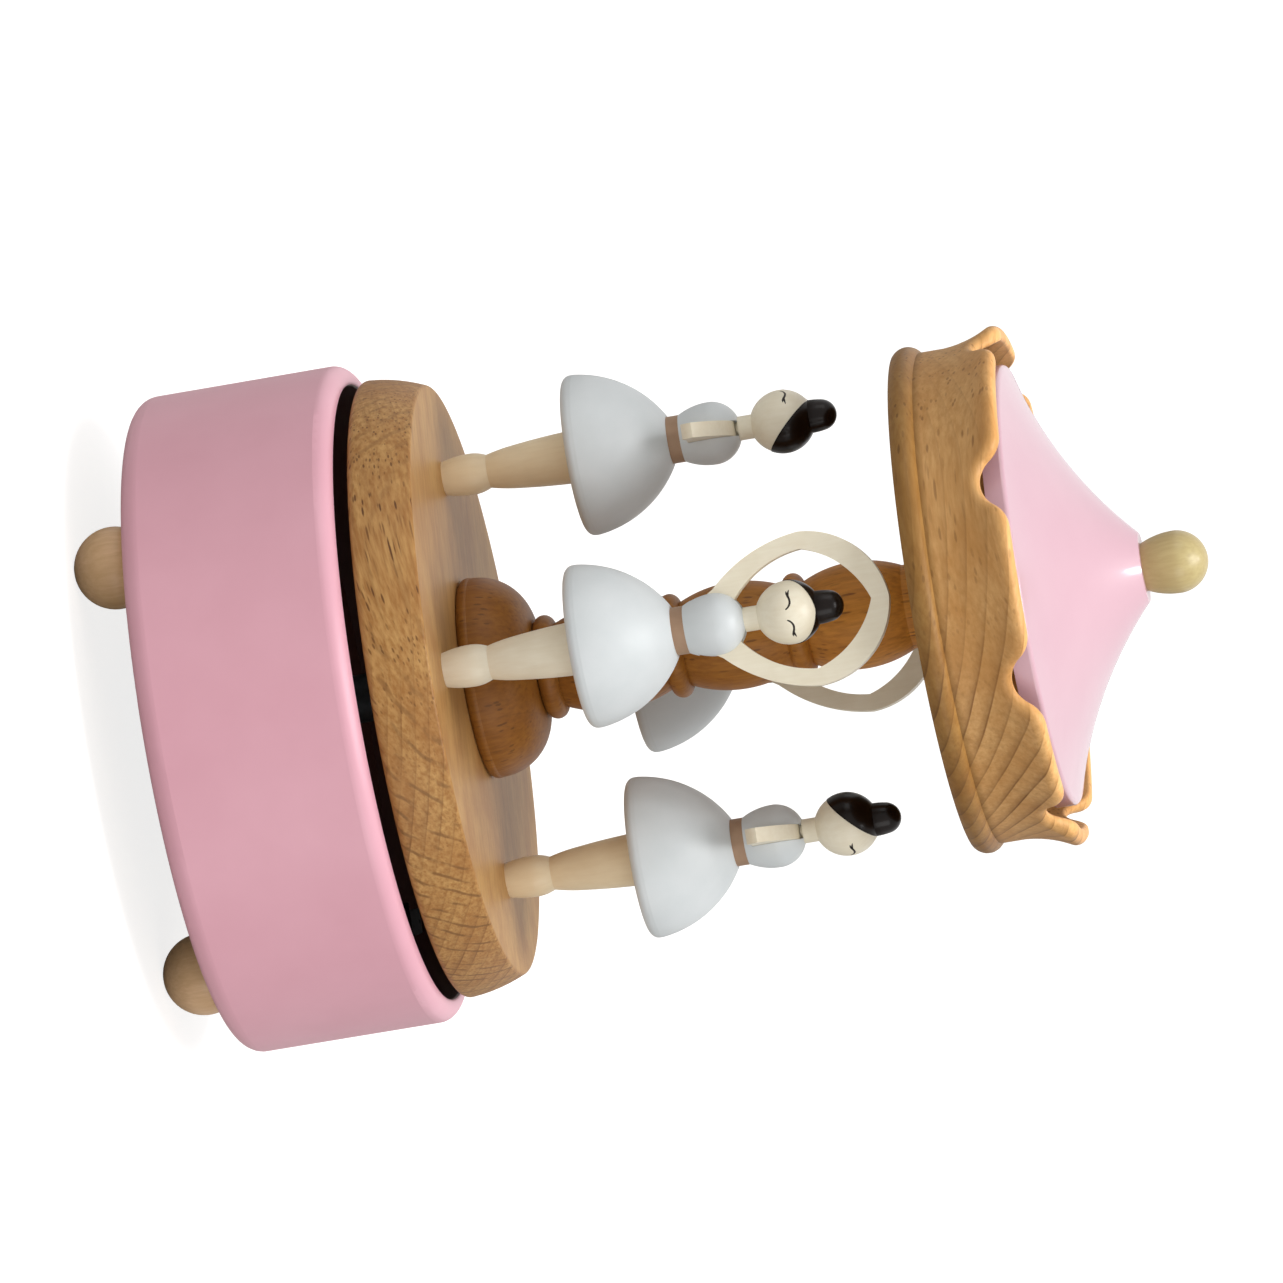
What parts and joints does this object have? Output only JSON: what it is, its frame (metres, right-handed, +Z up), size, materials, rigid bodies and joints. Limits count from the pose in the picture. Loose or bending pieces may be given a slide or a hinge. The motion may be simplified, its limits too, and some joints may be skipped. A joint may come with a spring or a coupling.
{
  "type": "wind-up ballerina music box",
  "caption": "Turned wooden music box: a pink drum base on ball feet carries a turning stage with dancers, a column and a scalloped crown; a wound movement inside turns it.",
  "frame": {"origin": "on the surface the feet stand on, on the axis that the stage turns about", "axes": "+Z is up along the turning axis; the front, where the dancer with raised arms stands at rest, is -Y; +X is to the right seen from the front"},
  "size_m": [0.115, 0.115, 0.1887],
  "materials": {
    "pink_paint": "turned wood, satin pink paint",
    "beech": "turned beech, clear satin lacquer",
    "maple": "turned pale wood, clear satin lacquer",
    "plywood": "birch plywood, sanded",
    "zinc": "die-cast zinc, bare; zinc weighs about as much as cast iron",
    "steel": "plain or nickel-plated steel",
    "brass": "turned brass, bare",
    "cream_lacquer": "pale wood, cream satin lacquer",
    "white_paint": "turned wood, white satin paint",
    "tan_band": "turned wood, brown satin paint",
    "black_gloss": "turned wood, black gloss paint"
  },
  "bodies": {
    "case": {"base_shell": "pink_paint", "base_board": "plywood", "ball_feet": "maple", "board_screws": "steel", "movement_screws": "steel", "bedplate": "zinc", "music_comb": "steel", "comb_screws": "steel", "governor_frame": "zinc", "click_spring": "steel"},
    "turntable": {"spring_barrel": "zinc", "barrel_cover": "zinc", "mainspring": "steel", "drive_flange": "zinc", "flange_screws": "steel", "stage_disc": "beech", "column": "beech", "crown_ring": "beech", "roof_cone": "pink_paint", "finial": "maple", "dancer_front_legs": "cream_lacquer", "dancer_front_arms": "cream_lacquer", "dancer_front_head": "cream_lacquer", "dancer_front_skirt": "white_paint", "dancer_front_torso": "white_paint", "dancer_front_belt": "tan_band", "dancer_front_hair": "black_gloss", "dancer_right_legs": "cream_lacquer", "dancer_right_arms": "cream_lacquer", "dancer_right_head": "cream_lacquer", "dancer_right_skirt": "white_paint", "dancer_right_torso": "white_paint", "dancer_right_belt": "tan_band", "dancer_right_hair": "black_gloss", "dancer_back_legs": "cream_lacquer", "dancer_back_arms": "cream_lacquer", "dancer_back_head": "cream_lacquer", "dancer_back_skirt": "white_paint", "dancer_back_torso": "white_paint", "dancer_back_belt": "tan_band", "dancer_back_hair": "black_gloss", "dancer_left_legs": "cream_lacquer", "dancer_left_arms": "cream_lacquer", "dancer_left_head": "cream_lacquer", "dancer_left_skirt": "white_paint", "dancer_left_torso": "white_paint", "dancer_left_belt": "tan_band", "dancer_left_hair": "black_gloss"},
    "winder": {"winding_arbor": "steel", "winding_key": "steel"},
    "cylinder": {"cylinder_arbor": "steel", "tune_cylinder": "brass", "drum_gear": "brass"},
    "governor": {"governor_wheel": "brass"},
    "worm": {"worm_fly": "steel"}
  },
  "joints": [
    {"name": "stage_turn", "type": "hinge", "parent": "case", "child": "turntable", "pos_m": [0, 0, 0.0495], "axis": [0, 0, 1], "continuous": true},
    {"name": "key_wind", "type": "hinge", "parent": "case", "child": "winder", "pos_m": [0, 0, 0.0091], "axis": [0, 0, 1], "continuous": true},
    {"name": "cylinder_turn", "type": "hinge", "parent": "case", "child": "cylinder", "pos_m": [0, 0, 0.02939], "axis": [1, 0, 0], "continuous": true},
    {"name": "governor_turn", "type": "hinge", "parent": "case", "child": "governor", "pos_m": [0, 0.009, 0.02939], "axis": [1, 0, 0], "continuous": true},
    {"name": "worm_turn", "type": "hinge", "parent": "case", "child": "worm", "pos_m": [0.03995, 0.01585, 0.02939], "axis": [0, 0, 1], "continuous": true}
  ],
  "couplings": [
    {"joint": "cylinder_turn", "follows": "stage_turn", "ratio": 3},
    {"joint": "governor_turn", "follows": "stage_turn", "ratio": -12},
    {"joint": "worm_turn", "follows": "stage_turn", "ratio": 264}
  ]
}
